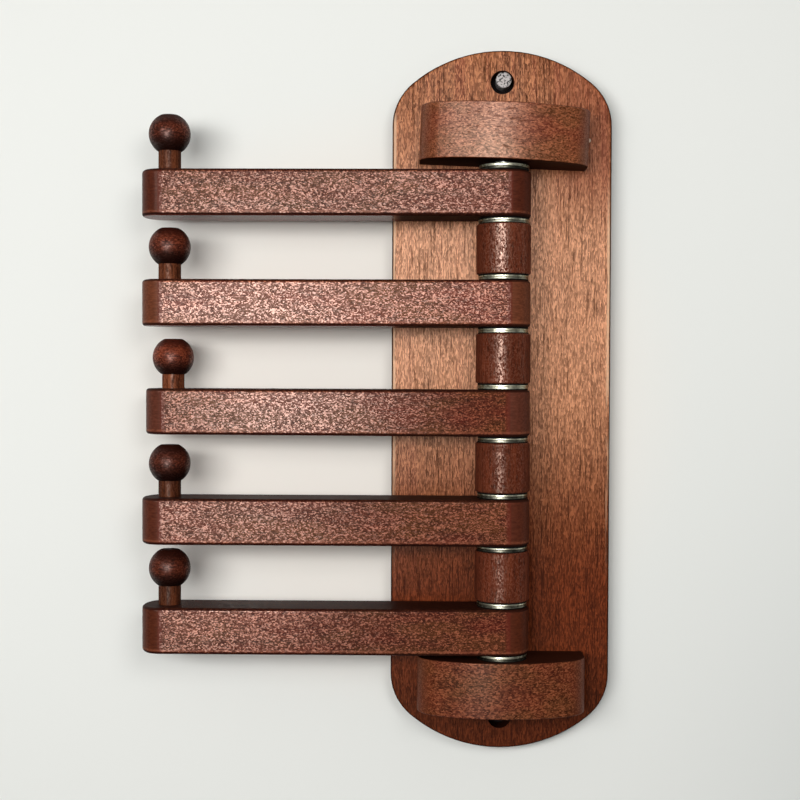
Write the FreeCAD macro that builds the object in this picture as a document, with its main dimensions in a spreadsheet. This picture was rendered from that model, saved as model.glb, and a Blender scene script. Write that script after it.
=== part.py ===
"""Swing arm wall coat rack: an arched back plate that carries two bearing blocks,
a steel rod between them, and five swinging bar arms, each with a ball on a short peg.

Frame: X to the right, -Y out of the wall towards the room, +Z up. The origin is the
middle of the plate's back face, which lies against the wall. Sizes are millimetres.
"""
import FreeCAD, Part
import math
import os
import Sketcher

DRIVING_SIZES = {
    # back plate, an upright board with bowed ends between rounded shoulders
    "plate_width": 111.0,
    "plate_thickness": 12.7,
    "plate_shoulder_radius": 28.0,
    "plate_bow_rise": 10.0,  # how far an end's middle stands beyond its shoulders
    "plate_top_margin": 31.6,  # from the upper block to the plate's top
    "plate_foot_margin": 22.3,  # from the lower block to the plate's foot
    "plate_edge_round": 1.2,  # rounding of the front edge
    "plate_back_ease": 0.5,  # chamfer of the back edge
    "hanging_hole_diameter": 12.0,
    "hanging_hole_inset": 16.1,  # from an end of the plate to the hole's middle
    # bearing blocks, bow-fronted, one above and one below the stack of arms
    "block_side_margin": 13.5,  # from a block's end to the plate's side
    "block_overhang": 1.1,  # how far a block stands out beyond the folded arms
    "block_height": 27.6,
    "block_shoulder_radius": 15.0,
    "block_bow_rise": 5.8,  # how far the front's middle stands beyond its shoulders
    "block_edge_round": 0.6,
    # pivot rod
    "rod_diameter": 9.5,
    "rod_seat_floor": 8.6,  # wood left beyond each blind bore for the rod
    "rod_end_gap": 0.5,
    "rod_chamfer": 0.8,
    # arms
    "arm_reach": 165.5,  # from the rod's axis to the peg's axis
    "arm_depth": 26.8,
    "arm_thickness": 22.8,
    "arm_edge_round": 1.6,
    "arm_shoulder_radius": 9.5,  # round corners of an arm's ends, seen from above
    "arm_bow_rise": 1.0,  # how far an end's middle stands beyond its corners
    "arm_plate_gap": 3.9,  # between a folded arm and the plate
    "arm_float": 0.1,  # vertical play of an arm between its washers
    "stack_play": 1.4,  # slack above the topmost washers
    "middle_arm_gap": 1.0,  # between the leaning middle arm and the plate's side edge
    # turned spacers
    "spacer_proud": 0.1,  # how far a spacer stands out beyond the arms' heels
    "spacer_ease": 0.5,
    # washers
    "washer_inset": 1.0,  # how far a washer stays inside the arms' heels
    "washer_thickness": 1.6,
    "washer_ease": 0.25,
    # radial fits
    "arm_bore_clearance": 0.06,
    "seat_clearance": 0.03,
    "spacer_clearance": 0.3,
    "washer_clearance": 0.45,
    # turned balls, flattened at both ends, on dowel pegs
    "ball_diameter": 20.6,
    "ball_top_flat_depth": 1.0,  # how much of the ball's top is cut off flat
    "ball_foot_step": 0.35,  # how far the ball's flat foot stands out around its peg
    "ball_bore_floor": 6.0,  # wood left above each ball's blind bore
    "ball_headroom": 3.6,  # between the bottom arm's ball and the arm above it
    "peg_diameter": 11.1,
    "peg_neck": 7.06,  # bare peg between the middle arm and its ball
    "peg_chamfer": 0.8,
    "peg_end_gap": 0.5,
    "peg_bore_floor": 6.8,  # wood left under each blind bore for a peg
    # how much higher than the middle arm's peg each other peg stands
    "peg_raise_top": 3.0,
    "peg_raise_second": 1.0,
    "peg_raise_fourth": 1.0,
    "peg_raise_bottom": 2.5,
    # countersunk screws from the plate's back into the blocks
    "screw_diameter": 4.2,
    "screw_head_diameter": 8.2,
    "screw_bite": 21.6,  # how deep a screw goes into its block
    "screw_point_length": 4.0,
    "screw_point_radius": 0.4,
    "screw_head_recess": 0.3,
    "screw_tip_gap": 0.5,
    "screw_inset": 16.0,  # from a block's end to the screw's axis
    "screw_drive_width": 1.2,
    "screw_drive_span": 4.4,
    "screw_drive_depth": 1.3,
}

# the upper block was glued on slightly turned; seen from the front, clockwise
DRIVING_ANGLES = {
    "top_block_tilt_degrees": 2.3,
}

ARM_COUNT = 5
WASHERS_PER_PLACE = 2
QUARTER_TURN = 90.0

doc = FreeCAD.newDocument("SwingArmCoatRack")
sheet = doc.addObject("Spreadsheet::Sheet", "Sizes")


class Size:
    """A number together with the expression over the sheet's cells that gives it."""

    def __init__(self, value, text):
        self.value = value
        self.text = text

    def join(self, sign, other, value):
        return Size(value, f"({self.text} {sign} {term(other)})")

    def __add__(self, other):
        return self.join("+", other, self.value + number(other))

    def __sub__(self, other):
        return self.join("-", other, self.value - number(other))

    def __mul__(self, other):
        return self.join("*", other, self.value * number(other))

    def __truediv__(self, other):
        return self.join("/", other, self.value / number(other))

    def __rsub__(self, other):
        return Size(other - self.value, f"({term(other)} - {self.text})")

    def __neg__(self):
        return 0 - self


def number(size):
    """The plain number of a size, or the number itself."""
    return size.value if isinstance(size, Size) else size


def term(size):
    """The expression of a size, or a number as it is written in an expression."""
    return size.text if isinstance(size, Size) else repr(size)


def root(area):
    """Square root of a size."""
    return Size(math.sqrt(area.value), f"sqrt({area.text})")


def cosine(angle):
    """Cosine of an angle in degrees."""
    return Size(math.cos(math.radians(angle.value)), f"cos({angle.text} * 1 deg)")


def sine(angle):
    """Sine of an angle in degrees."""
    return Size(math.sin(math.radians(angle.value)), f"sin({angle.text} * 1 deg)")


def slope_angle(ratio):
    """Angle in degrees whose tangent is a ratio."""
    return Size(math.degrees(math.atan(ratio.value)), f"(atan({ratio.text}) / 1 deg)")


def fill_sheet():
    """Writes every driving value into the sheet and returns them by name."""
    rows = {**DRIVING_SIZES, **DRIVING_ANGLES}
    for row, (name, value) in enumerate(rows.items(), start=1):
        sheet.set(f"A{row}", name)
        sheet.set(f"B{row}", str(value))
        sheet.setAlias(f"B{row}", name)
    doc.recompute()
    return {name: Size(value, f"Sizes.{name}") for name, value in rows.items()}


size = fill_sheet()
ZERO = Size(0, "0")

# places and sizes that several pieces share
arm_radius = size["arm_depth"] / 2
plate_front = size["plate_thickness"]
rod_out = plate_front + size["arm_plate_gap"] + arm_radius
rod_radius = size["rod_diameter"] / 2
rod_seat_depth = size["block_height"] - size["rod_seat_floor"]
block_width = size["plate_width"] - size["block_side_margin"] * 2
block_reach = size["arm_plate_gap"] + size["arm_depth"] + size["block_overhang"]
middle_arm_lean = slope_angle((size["arm_plate_gap"] - size["middle_arm_gap"]) / (size["plate_width"] / 2))

# a ball's middle lies as high over its foot as the foot's width asks
ball_radius = size["ball_diameter"] / 2
peg_radius = size["peg_diameter"] / 2
ball_foot_radius = peg_radius + size["ball_foot_step"]
ball_middle = root(ball_radius * ball_radius - ball_foot_radius * ball_foot_radius)
ball_height = ball_middle + ball_radius - size["ball_top_flat_depth"]
ball_bore_depth = ball_height - size["ball_bore_floor"]
peg_bore_depth = size["arm_thickness"] - size["peg_bore_floor"]
peg_length = peg_bore_depth + size["peg_neck"] + ball_bore_depth - size["peg_end_gap"] * 2

# the spacers are just long enough for the balls to pass under the next arm
washer_pack = size["washer_thickness"] * WASHERS_PER_PLACE
arm_gap = size["peg_neck"] + size["peg_raise_bottom"] + ball_height + size["ball_headroom"]
spacer_length = arm_gap - washer_pack * 2 - size["arm_float"]
arm_pitch = size["arm_thickness"] + arm_gap
stack_height = arm_pitch * ARM_COUNT - spacer_length + size["stack_play"]
plate_height = (size["plate_foot_margin"] + size["block_height"] * 2 + stack_height
                + size["plate_top_margin"])
lower_block_foot = size["plate_foot_margin"] - plate_height / 2
lower_block_top = lower_block_foot + size["block_height"]
upper_block_foot = lower_block_top + stack_height
hanging_hole_level = plate_height / 2 - size["hanging_hole_inset"]

screw_radius = size["screw_diameter"] / 2
screw_head_radius = size["screw_head_diameter"] / 2
screw_spread = block_width / 2 - size["screw_inset"]
screw_reach = plate_front + size["screw_bite"]


def bind(thing, prop, value):
    """Binds a property of an object to a size of the sheet."""
    thing.setExpression(prop, value.text)


def place(thing, x=ZERO, y=ZERO, z=ZERO, axis=(0, 0, 1), angle=ZERO):
    """Places an object, turned about one axis, by sizes of the sheet."""
    turn = FreeCAD.Rotation(FreeCAD.Vector(*axis), angle.value)
    thing.Placement = FreeCAD.Placement(FreeCAD.Vector(x.value, y.value, z.value), turn)
    bind(thing, ".Placement.Base.x", x)
    bind(thing, ".Placement.Base.y", y)
    bind(thing, ".Placement.Base.z", z)
    if angle is not ZERO:
        bind(thing, ".Placement.Rotation.Angle", angle)


def new_body(name):
    """A new body whose label is its own name."""
    body = doc.addObject("PartDesign::Body", name)
    body.Label = name
    return body


class Outline:
    """A sketch on one of a body's origin planes, whose sizes are bound to the sheet."""

    def __init__(self, body, name, plane="XY_Plane", height=ZERO):
        self.sketch = body.newObject("Sketcher::SketchObject", name)
        support = [part for part in body.Origin.OriginFeatures if part.Role == plane][0]
        self.sketch.AttachmentSupport = [(support, "")]
        self.sketch.MapMode = "FlatFace"
        self.sketch.AttachmentOffset.Base = FreeCAD.Vector(0, 0, height.value)
        bind(self.sketch, ".AttachmentOffset.Base.z", height)

    def line(self, start, end):
        """Adds a line between two points, each a pair of sizes."""
        ends = [FreeCAD.Vector(x.value, y.value, 0) for x, y in (start, end)]
        return self.sketch.addGeometry(Part.LineSegment(*ends), False)

    def arc(self, centre, radius, start_angle, end_angle):
        """Adds an arc that runs anticlockwise between two angles in radians."""
        middle = FreeCAD.Vector(centre[0].value, centre[1].value, 0)
        circle = Part.Circle(middle, FreeCAD.Vector(0, 0, 1), radius.value)
        return self.sketch.addGeometry(Part.ArcOfCircle(circle, start_angle, end_angle), False)

    def circle(self, x, y, diameter):
        """Adds a circle with its centre held at a point."""
        middle = FreeCAD.Vector(x.value, y.value, 0)
        circle = Part.Circle(middle, FreeCAD.Vector(0, 0, 1), diameter.value / 2)
        index = self.sketch.addGeometry(circle, False)
        self.measure("Diameter", index, diameter)
        self.pin(index, 3, x, y)

    def polygon(self, points):
        """Adds a closed polygon with every corner held at its place."""
        sides = [self.line(start, end) for start, end in zip(points, points[1:] + points[:1])]
        for side, following in zip(sides, sides[1:] + sides[:1]):
            self.rule("Coincident", side, 2, following, 1)
        for side, (x, y) in zip(sides, points):
            self.pin(side, 1, x, y)

    def rule(self, kind, *where):
        """Adds a constraint that has no size."""
        self.sketch.addConstraint(Sketcher.Constraint(kind, *where))

    def measure(self, kind, *where_and_size):
        """Adds a constraint whose size is bound to the sheet."""
        *where, value = where_and_size
        index = self.sketch.addConstraint(Sketcher.Constraint(kind, *where, value.value))
        bind(self.sketch, f"Constraints[{index}]", value)

    def pin(self, index, point, x, y):
        """Holds one point of a curve at a place measured from the sketch's origin."""
        if x is ZERO and y is ZERO:
            self.rule("Coincident", index, point, -1, 1)
            return
        if x is ZERO:
            self.rule("PointOnObject", index, point, -2)
        else:
            self.measure("DistanceX", -1, 1, index, point, x)
        if y is ZERO:
            self.rule("PointOnObject", index, point, -1)
        else:
            self.measure("DistanceY", -1, 1, index, point, y)


def pad(body, outline, length):
    """Pads an outline by a length along its sketch's normal."""
    feature = body.newObject("PartDesign::Pad", f"{body.Label}_blank")
    feature.Profile = outline.sketch
    bind(feature, "Length", length)
    doc.recompute()
    return feature


def revolve(body, outline):
    """Turns an outline about its sketch's upright axis."""
    feature = body.newObject("PartDesign::Revolution", f"{body.Label}_turned")
    feature.Profile = outline.sketch
    feature.ReferenceAxis = (outline.sketch, ["V_Axis"])
    doc.recompute()
    return feature


def pocket(body, outline, name, depth=None, reverse=False):
    """Cuts an outline out of a body, to a depth, or right through with no depth."""
    before = body.Shape.Volume
    feature = body.newObject("PartDesign::Pocket", name)
    feature.Profile = outline.sketch
    feature.Reversed = reverse
    if depth is None:
        feature.Type = 1
        feature.Midplane = True
    else:
        bind(feature, "Length", depth)
    doc.recompute()
    if body.Shape.Volume >= before:
        raise RuntimeError(f"{name} cuts nothing from {body.Label}")
    return feature


def level_edges(feature, axis, *levels):
    """Names of a feature's edges that lie whole at one of some levels along an axis."""
    near = size["washer_ease"].value / 100
    names = []
    for index, edge in enumerate(feature.Shape.Edges, start=1):
        low = getattr(edge.BoundBox, f"{axis}Min")
        high = getattr(edge.BoundBox, f"{axis}Max")
        if any(abs(low - level.value) < near and abs(high - level.value) < near for level in levels):
            names.append(f"Edge{index}")
    return names


def ease(body, kind, feature, names, amount, name):
    """Rounds or chamfers the named edges of a feature."""
    dress = body.newObject(f"PartDesign::{kind}", name)
    dress.Base = (feature, names)
    bind(dress, "Radius" if kind == "Fillet" else "Size", amount)
    doc.recompute()
    return dress


def bow_radius(inner, bow_rise, shoulder):
    """Radius of the arc that joins two shoulders and stands beyond them by its rise."""
    return (inner * inner + bow_rise * bow_rise) / (bow_rise * 2) + shoulder


def shoulder_turn(inner, bow, shoulder):
    """Angle of a shoulder's arc, from the straight side to where the bow begins."""
    return math.acos(inner.value / (bow.value - shoulder.value))


def draw_bowed_board(outline, half_width, foot, top, shoulder, bow_rise):
    """Draws an upright board with straight sides and two bowed ends with shoulders."""
    inner = half_width - shoulder
    low = foot + bow_rise + shoulder
    high = top - bow_rise - shoulder
    bow = bow_radius(inner, bow_rise, shoulder)
    turn = shoulder_turn(inner, bow, shoulder)
    right = outline.line((half_width, low), (half_width, high))
    upper_right = outline.arc((inner, high), shoulder, 0, turn)
    top_bow = outline.arc((ZERO, top - bow), bow, turn, math.pi - turn)
    upper_left = outline.arc((-inner, high), shoulder, math.pi - turn, math.pi)
    left = outline.line((-half_width, high), (-half_width, low))
    lower_left = outline.arc((-inner, low), shoulder, math.pi, math.pi + turn)
    foot_bow = outline.arc((ZERO, foot + bow), bow, math.pi + turn, 2 * math.pi - turn)
    lower_right = outline.arc((inner, low), shoulder, 2 * math.pi - turn, 2 * math.pi)
    curves = [right, upper_right, top_bow, upper_left, left, lower_left, foot_bow, lower_right]
    for curve, following in zip(curves, curves[1:] + curves[:1]):
        outline.rule("Tangent", curve, 2, following, 1)
    outline.rule("Symmetric", right, 2, left, 1, -2)
    outline.rule("Symmetric", right, 1, left, 2, -2)
    outline.rule("Vertical", right)
    outline.measure("DistanceX", left, 1, right, 2, half_width * 2)
    outline.measure("DistanceY", -1, 1, right, 1, low)
    outline.measure("DistanceY", -1, 1, right, 2, high)
    outline.measure("Radius", upper_right, shoulder)
    for corner in (upper_left, lower_left, lower_right):
        outline.rule("Equal", upper_right, corner)
    outline.measure("Radius", top_bow, bow)
    outline.rule("Equal", top_bow, foot_bow)


def screw_places():
    """The four places of the block screws on the plate, as pairs of x and z."""
    middle = size["block_height"] / 2
    levels = (upper_block_foot + middle, lower_block_foot + middle)
    return [(side, level) for level in levels for side in (-screw_spread, screw_spread)]


def back_plate():
    """The board: bowed ends, two hanging holes and four countersunk screw holes."""
    body = new_body("back_plate")
    outline = Outline(body, "back_plate_outline", "XZ_Plane")
    draw_bowed_board(outline, size["plate_width"] / 2, -(plate_height / 2), plate_height / 2,
                     size["plate_shoulder_radius"], size["plate_bow_rise"])
    board = pad(body, outline, size["plate_thickness"])
    rounded = ease(body, "Fillet", board, level_edges(board, "Y", -plate_front),
                   size["plate_edge_round"], "back_plate_front_round")
    ease(body, "Chamfer", rounded, level_edges(rounded, "Y", ZERO),
         size["plate_back_ease"], "back_plate_back_ease")

    hanging_holes = Outline(body, "hanging_hole_places", "XZ_Plane")
    for level in (hanging_hole_level, -hanging_hole_level):
        hanging_holes.circle(ZERO, level, size["hanging_hole_diameter"])
    pocket(body, hanging_holes, "hanging_holes")

    shank_hole_radius = screw_radius + size["seat_clearance"]
    shank_holes = Outline(body, "screw_hole_places", "XZ_Plane")
    for x, z in screw_places():
        shank_holes.circle(x, z, shank_hole_radius * 2)
    pocket(body, shank_holes, "screw_holes")

    # a right-angled countersink, wide enough to take the head below the surface
    mouth_radius = screw_head_radius + size["seat_clearance"] + size["screw_head_recess"]
    for index, (x, z) in enumerate(screw_places(), start=1):
        before = body.Shape.Volume
        sink = body.newObject("PartDesign::SubtractiveCone", f"screw_sink_{index}")
        bind(sink, "Radius1", mouth_radius)
        bind(sink, "Radius2", shank_hole_radius)
        bind(sink, "Height", mouth_radius - shank_hole_radius)
        place(sink, x, ZERO, z, axis=(1, 0, 0), angle=Size(QUARTER_TURN, repr(QUARTER_TURN)))
        doc.recompute()
        if body.Shape.Volume >= before:
            raise RuntimeError(f"{sink.Name} cuts nothing")
    return body


def bearing_block(name, foot, bore_mouth, tilt=ZERO):
    """A bow-fronted block, its back flat on the plate, with bores for rod and screws."""
    body = new_body(f"{name}_blank")
    outline = Outline(body, f"{name}_plan")
    half_width = block_width / 2
    shoulder = size["block_shoulder_radius"]
    inner = half_width - shoulder
    side = block_reach - size["block_bow_rise"] - shoulder
    bow = bow_radius(inner, size["block_bow_rise"], shoulder)
    turn = shoulder_turn(inner, bow, shoulder)
    back = outline.line((half_width, ZERO), (-half_width, ZERO))
    left = outline.line((-half_width, ZERO), (-half_width, -side))
    left_corner = outline.arc((-inner, -side), shoulder, math.pi, math.pi + turn)
    front = outline.arc((ZERO, bow - block_reach), bow, math.pi + turn, 2 * math.pi - turn)
    right_corner = outline.arc((inner, -side), shoulder, 2 * math.pi - turn, 2 * math.pi)
    right = outline.line((half_width, -side), (half_width, ZERO))
    curves = [left, left_corner, front, right_corner, right]
    for curve, following in zip(curves, curves[1:]):
        outline.rule("Tangent", curve, 2, following, 1)
    outline.rule("Coincident", back, 2, left, 1)
    outline.rule("Coincident", right, 2, back, 1)
    outline.rule("PointOnObject", back, 1, -1)
    outline.rule("Symmetric", back, 1, back, 2, -2)
    outline.rule("Symmetric", left, 2, right, 1, -2)
    outline.rule("Vertical", right)
    outline.measure("DistanceX", back, 2, back, 1, block_width)
    outline.measure("DistanceY", right, 1, right, 2, side)
    outline.measure("Radius", left_corner, shoulder)
    outline.rule("Equal", left_corner, right_corner)
    outline.measure("Radius", front, bow)
    blank = pad(body, outline, size["block_height"])
    back_edges = level_edges(blank, "Y", ZERO)
    rims = [edge for edge in level_edges(blank, "Z", ZERO, size["block_height"]) if edge not in back_edges]
    ease(body, "Fillet", blank, rims, size["block_edge_round"], f"{name}_edge_round")
    # the tilt turns the block about a level line out of the wall, through the rod's axis
    place(body, ZERO, -plate_front, foot, axis=(0, 1, 0), angle=tilt)

    rod_bore = doc.addObject("Part::Cylinder", f"{name}_rod_bore")
    bind(rod_bore, "Radius", rod_radius + size["seat_clearance"])
    bind(rod_bore, "Height", rod_seat_depth * 2)
    place(rod_bore, ZERO, -rod_out, bore_mouth - rod_seat_depth)
    cutters = [rod_bore]
    for word, x in (("left", -screw_spread), ("right", screw_spread)):
        pilot = doc.addObject("Part::Cylinder", f"{name}_{word}_pilot")
        bind(pilot, "Radius", screw_radius + size["seat_clearance"])
        bind(pilot, "Height", screw_reach + size["screw_tip_gap"])
        place(pilot, x, ZERO, foot + size["block_height"] / 2,
              axis=(1, 0, 0), angle=Size(QUARTER_TURN, repr(QUARTER_TURN)))
        cutters.append(pilot)
    tool = doc.addObject("Part::MultiFuse", f"{name}_bores")
    tool.Shapes = cutters
    block = doc.addObject("Part::Cut", name)
    block.Base = body
    block.Tool = tool
    block.Label = name
    doc.recompute()
    return block


def pivot_rod():
    """The steel rod: its ends stand in the blind bores of the two blocks."""
    body = new_body("pivot_rod")
    outline = Outline(body, "pivot_rod_section")
    outline.circle(ZERO, ZERO, size["rod_diameter"])
    engaged = rod_seat_depth - size["rod_end_gap"]
    length = stack_height + engaged * 2
    bar = pad(body, outline, length)
    ease(body, "Chamfer", bar, level_edges(bar, "Z", ZERO, length), size["rod_chamfer"],
         "pivot_rod_chamfers")
    place(body, ZERO, -rod_out, lower_block_top - engaged)
    return body


def ring(name, diameter, bore, height, rim_kind, rim_amount, foot):
    """A turned ring on the rod's axis, its outer edges eased."""
    body = new_body(name)
    outline = Outline(body, f"{name}_section")
    outline.circle(ZERO, ZERO, diameter)
    blank = pad(body, outline, height)
    ease(body, rim_kind, blank, level_edges(blank, "Z", ZERO, height), rim_amount, f"{name}_rims")
    hole = Outline(body, f"{name}_bore_section")
    hole.circle(ZERO, ZERO, bore)
    pocket(body, hole, f"{name}_bore")
    place(body, ZERO, -rod_out, foot)
    return body


def arm(name, foot, lean):
    """A bar with bowed ends, a running bore on the rod and a blind bore for its peg."""
    body = new_body(name)
    outline = Outline(body, f"{name}_plan")
    reach = size["arm_reach"]
    draw_bowed_board(outline, arm_radius, -arm_radius, reach + arm_radius,
                     size["arm_shoulder_radius"], size["arm_bow_rise"])
    bar = pad(body, outline, size["arm_thickness"])
    ease(body, "Fillet", bar, level_edges(bar, "Z", ZERO, size["arm_thickness"]),
         size["arm_edge_round"], f"{name}_edge_round")

    rod_bore = Outline(body, f"{name}_rod_bore_section")
    rod_bore.circle(ZERO, ZERO, (rod_radius + size["arm_bore_clearance"]) * 2)
    pocket(body, rod_bore, f"{name}_rod_bore")
    peg_bore = Outline(body, f"{name}_peg_bore_section", height=size["arm_thickness"])
    peg_bore.circle(ZERO, reach, (peg_radius + size["seat_clearance"]) * 2)
    pocket(body, peg_bore, f"{name}_peg_bore", peg_bore_depth)
    # the plan lies along +Y, and a quarter turn lays the arm along -X
    place(body, ZERO, -rod_out, foot, angle=QUARTER_TURN - lean)
    return body


def tip_place(thing, level, lean):
    """Places a piece on the axis of an arm's peg, at a level."""
    place(thing, -(size["arm_reach"] * cosine(lean)), size["arm_reach"] * sine(lean) - rod_out, level)


def peg(name, arm_foot, rise, lean):
    """A dowel that stands in the arm's blind bore and carries a ball."""
    body = new_body(name)
    outline = Outline(body, f"{name}_section")
    outline.circle(ZERO, ZERO, size["peg_diameter"])
    dowel = pad(body, outline, peg_length)
    ease(body, "Chamfer", dowel, level_edges(dowel, "Z", ZERO, peg_length), size["peg_chamfer"],
         f"{name}_chamfers")
    tip_place(body, arm_foot + size["peg_bore_floor"] + size["peg_end_gap"] + rise, lean)
    return body


def ball(name, arm_foot, rise, lean):
    """A turned ball with a flat top and foot and a blind bore for its peg."""
    body = new_body(name)
    outline = Outline(body, f"{name}_profile", "XZ_Plane")
    bore_radius = peg_radius + size["seat_clearance"]
    crown = ball_height - ball_middle
    flat_radius = root(ball_radius * ball_radius - crown * crown)
    floor = outline.line((ZERO, ball_bore_depth), (bore_radius, ball_bore_depth))
    wall = outline.line((bore_radius, ball_bore_depth), (bore_radius, ZERO))
    sole = outline.line((bore_radius, ZERO), (ball_foot_radius, ZERO))
    skin = outline.arc((ZERO, ball_middle), ball_radius, -math.asin(ball_middle.value / ball_radius.value),
                       math.asin(crown.value / ball_radius.value))
    flat = outline.line((flat_radius, ball_height), (ZERO, ball_height))
    axis = outline.line((ZERO, ball_height), (ZERO, ball_bore_depth))
    curves = [floor, wall, sole, skin, flat, axis]
    for curve, following in zip(curves, curves[1:] + curves[:1]):
        outline.rule("Coincident", curve, 2, following, 1)
    outline.pin(floor, 1, ZERO, ball_bore_depth)
    outline.rule("Horizontal", floor)
    outline.rule("Vertical", wall)
    outline.pin(wall, 2, bore_radius, ZERO)
    outline.rule("Horizontal", sole)
    outline.pin(skin, 3, ZERO, ball_middle)
    outline.measure("Radius", skin, ball_radius)
    outline.rule("Horizontal", flat)
    outline.pin(flat, 2, ZERO, ball_height)
    revolve(body, outline)
    tip_place(body, arm_foot + size["arm_thickness"] + size["peg_neck"] + rise, lean)
    return body


def block_screw(name, x, z):
    """One countersunk wood screw with a cross recess, pointing out of the wall."""
    body = new_body(name)
    outline = Outline(body, f"{name}_profile")
    length = screw_reach - size["screw_head_recess"]
    cone = screw_head_radius - screw_radius
    outline.polygon([
        (ZERO, ZERO),
        (screw_head_radius, ZERO),
        (screw_radius, -cone),
        (screw_radius, size["screw_point_length"] - length),
        (size["screw_point_radius"], -length),
        (ZERO, -length),
    ])
    revolve(body, outline)
    long_side = size["screw_drive_span"] / 2
    short_side = size["screw_drive_width"] / 2
    slots = Outline(body, f"{name}_recess_plan", "XZ_Plane")
    right = [(long_side, -short_side), (long_side, short_side), (short_side, short_side)]
    top = [(short_side, long_side), (-short_side, long_side), (-short_side, short_side)]
    cross = right + top + [(-across, -along) for across, along in right + top]
    slots.polygon(cross)
    pocket(body, slots, f"{name}_recess", size["screw_drive_depth"], reverse=True)
    place(body, x, -size["screw_head_recess"], z)
    return body


def block_screws():
    """The four screws together."""
    group = doc.addObject("Part::Compound", "block_screws")
    group.Links = [block_screw(f"block_screw_{index}", x, z)
                   for index, (x, z) in enumerate(screw_places(), start=1)]
    group.Label = "block_screws"
    return group


def stack():
    """Washers, arms, pegs and spacers, counted from the top arm down."""
    pieces = []
    washer_bore = (rod_radius + size["washer_clearance"]) * 2
    washer_diameter = (arm_radius - size["washer_inset"]) * 2
    spacer_bore = (rod_radius + size["spacer_clearance"]) * 2
    spacer_diameter = (arm_radius + size["spacer_proud"]) * 2
    rises = [size["peg_raise_top"], size["peg_raise_second"], ZERO,
             size["peg_raise_fourth"], size["peg_raise_bottom"]]
    washer_number = 0
    for level, rise in enumerate(rises, start=1):
        arm_foot = lower_block_top + washer_pack + arm_pitch * (ARM_COUNT - level)
        above = arm_foot + size["arm_thickness"] + size["arm_float"]
        below = arm_foot - washer_pack
        for pack_foot in (above, below):
            for layer in reversed(range(WASHERS_PER_PLACE)):
                washer_number += 1
                pieces.append(ring(f"washer_{washer_number:02d}", washer_diameter, washer_bore,
                                   size["washer_thickness"], "Fillet", size["washer_ease"],
                                   pack_foot + size["washer_thickness"] * layer))
        lean = middle_arm_lean if rise is ZERO else ZERO
        pieces.append(arm(f"arm_{level}", arm_foot, lean))
        pieces.append(peg(f"peg_{level}", arm_foot, rise, lean))
        pieces.append(ball(f"ball_{level}", arm_foot, rise, lean))
        if level < ARM_COUNT:
            pieces.append(ring(f"spacer_{level}", spacer_diameter, spacer_bore, spacer_length,
                               "Chamfer", size["spacer_ease"], below - spacer_length))
    return pieces


pieces = [
    back_plate(),
    bearing_block("top_block", upper_block_foot, upper_block_foot, size["top_block_tilt_degrees"]),
    bearing_block("bottom_block", lower_block_foot, lower_block_top),
    pivot_rod(),
    *stack(),
    block_screws(),
]
doc.recompute()

for thing in doc.Objects:
    if {"Invalid", "Error"} & set(thing.State):
        raise RuntimeError(f"{thing.Label} did not compute: {thing.State}")
for piece in pieces:
    if piece.Shape.isNull() or not piece.Shape.isValid():
        raise RuntimeError(f"{piece.Label} has no valid shape")

os.makedirs("parts", exist_ok=True)
for piece in pieces:
    piece.Shape.exportStep(f"parts/{piece.Label}.step")
    print(f"{piece.Label}: {len(piece.Shape.Solids)} solid(s), {piece.Shape.Volume / 1000:.3f} cm3")
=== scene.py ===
"""Looks of the swing arm wall coat rack: finishes, wall, lamps and camera."""
import logging
import math
from dataclasses import dataclass, field
from enum import Enum

import bmesh
import bpy
from mathutils import Matrix, Vector


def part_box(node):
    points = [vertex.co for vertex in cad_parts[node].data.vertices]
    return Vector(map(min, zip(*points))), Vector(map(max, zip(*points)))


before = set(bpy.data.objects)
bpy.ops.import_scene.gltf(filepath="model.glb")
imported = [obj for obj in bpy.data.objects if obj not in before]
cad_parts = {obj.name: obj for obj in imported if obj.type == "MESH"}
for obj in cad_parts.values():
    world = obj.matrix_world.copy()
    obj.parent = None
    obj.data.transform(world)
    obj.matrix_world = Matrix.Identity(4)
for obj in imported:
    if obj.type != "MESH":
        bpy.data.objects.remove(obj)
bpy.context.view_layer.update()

LOG = logging.getLogger("coat_rack")

Colour = tuple[float, float, float]
MILLIMETRE = 0.001
LEVEL = (0.0, 0.0, 0.0)  # a turn that leaves the grain level
UPRIGHT = (0.0, -math.pi / 2, 0.0)  # a turn that stands the grain up
# how far apart seeds and shifts lie in the noise, on each axis
PATTERN_STEPS = ((17.3, 1), (5.1, -1), (9.7, 3))


def paint(red: int, green: int, blue: int) -> Colour:
    """Turns the three 8-bit steps of a screen colour into linear light."""
    def linear(step: int) -> float:
        """Linear light of one step."""
        share = step / 255
        return share / 12.92 if share <= 0.04045 else ((share + 0.055) / 1.055) ** 2.4
    return linear(red), linear(green), linear(blue)


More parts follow.
